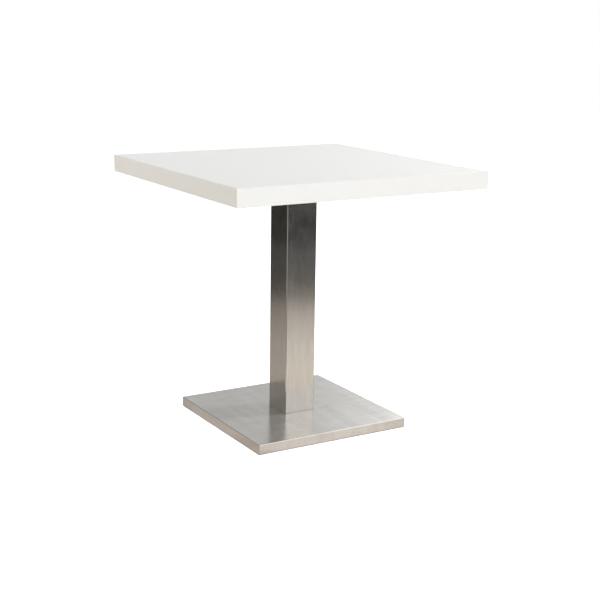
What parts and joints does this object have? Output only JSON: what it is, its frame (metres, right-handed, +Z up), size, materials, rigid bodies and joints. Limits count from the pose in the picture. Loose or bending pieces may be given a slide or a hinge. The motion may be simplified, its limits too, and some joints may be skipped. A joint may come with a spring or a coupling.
{
  "type": "bistro table",
  "caption": "Square laminate cafe table on a square brushed stainless column and a flat weighted stainless base with levelling glides.",
  "frame": {"origin": "centre of the footprint, on the floor under the middle of the column", "axes": "+Z up along the column, -Y towards the front edge, +X to the right"},
  "size_m": [0.8, 0.8, 0.78],
  "materials": {
    "laminate": "satin white high-pressure laminate with a fine pearl texture",
    "edge_band": "satin off-white edge banding",
    "chipboard": "raw particle board",
    "backing": "plain grey-white backing sheet",
    "cast_iron": "black powder-coated sand casting",
    "stainless": "brushed stainless sheet, satin",
    "zinc": "zinc-plated steel",
    "nylon": "moulded black nylon"
  },
  "bodies": {
    "table": {"backing_laminate": "backing", "ballast_plate": "cast_iron", "base_cover": "stainless", "column": "stainless", "column_seat": "zinc", "edge_band_back": "edge_band", "edge_band_front": "edge_band", "edge_band_left": "edge_band", "edge_band_right": "edge_band", "edge_strip_back": "chipboard", "edge_strip_front": "chipboard", "edge_strip_left": "chipboard", "edge_strip_right": "chipboard", "lower_nut": "zinc", "lower_washer": "zinc", "seat_screw_back_left": "zinc", "seat_screw_back_right": "zinc", "seat_screw_front_left": "zinc", "seat_screw_front_right": "zinc", "spider_screw_back_inner": "zinc", "spider_screw_back_outer": "zinc", "spider_screw_front_inner": "zinc", "spider_screw_front_outer": "zinc", "spider_screw_left_inner": "zinc", "spider_screw_left_outer": "zinc", "spider_screw_right_inner": "zinc", "spider_screw_right_outer": "zinc", "tie_rod": "zinc", "top_board": "chipboard", "top_laminate": "laminate", "top_spider": "cast_iron", "upper_nut": "zinc", "upper_spring_washer": "zinc", "upper_washer": "zinc"},
    "pad_front_left": {"glide_pad_front_left": "nylon"},
    "stud_front_left": {"glide_stud_front_left": "zinc"},
    "pad_front_right": {"glide_pad_front_right": "nylon"},
    "stud_front_right": {"glide_stud_front_right": "zinc"},
    "pad_back_right": {"glide_pad_back_right": "nylon"},
    "stud_back_right": {"glide_stud_back_right": "zinc"},
    "pad_back_left": {"glide_pad_back_left": "nylon"},
    "stud_back_left": {"glide_stud_back_left": "zinc"}
  },
  "joints": [
    {"name": "glide_travel_front_left", "type": "slide", "parent": "table", "child": "pad_front_left", "axis": [0, 0, -1], "range_m": [0, 0.01]},
    {"name": "glide_turn_front_left", "type": "hinge", "parent": "pad_front_left", "child": "stud_front_left", "pos_m": [-0.205, -0.205, 0], "axis": [0, 0, -1], "range_deg": [0, 2880]},
    {"name": "glide_travel_front_right", "type": "slide", "parent": "table", "child": "pad_front_right", "axis": [0, 0, -1], "range_m": [0, 0.01]},
    {"name": "glide_turn_front_right", "type": "hinge", "parent": "pad_front_right", "child": "stud_front_right", "pos_m": [0.205, -0.205, 0], "axis": [0, 0, -1], "range_deg": [0, 2880]},
    {"name": "glide_travel_back_right", "type": "slide", "parent": "table", "child": "pad_back_right", "axis": [0, 0, -1], "range_m": [0, 0.01]},
    {"name": "glide_turn_back_right", "type": "hinge", "parent": "pad_back_right", "child": "stud_back_right", "pos_m": [0.205, 0.205, 0], "axis": [0, 0, -1], "range_deg": [0, 2880]},
    {"name": "glide_travel_back_left", "type": "slide", "parent": "table", "child": "pad_back_left", "axis": [0, 0, -1], "range_m": [0, 0.01]},
    {"name": "glide_turn_back_left", "type": "hinge", "parent": "pad_back_left", "child": "stud_back_left", "pos_m": [-0.205, 0.205, 0], "axis": [0, 0, -1], "range_deg": [0, 2880]}
  ],
  "couplings": [
    {"joint": "glide_turn_front_left", "follows": "glide_travel_front_left", "rad_per_m": 5026.5},
    {"joint": "glide_turn_front_right", "follows": "glide_travel_front_right", "rad_per_m": 5026.5},
    {"joint": "glide_turn_back_right", "follows": "glide_travel_back_right", "rad_per_m": 5026.5},
    {"joint": "glide_turn_back_left", "follows": "glide_travel_back_left", "rad_per_m": 5026.5}
  ]
}
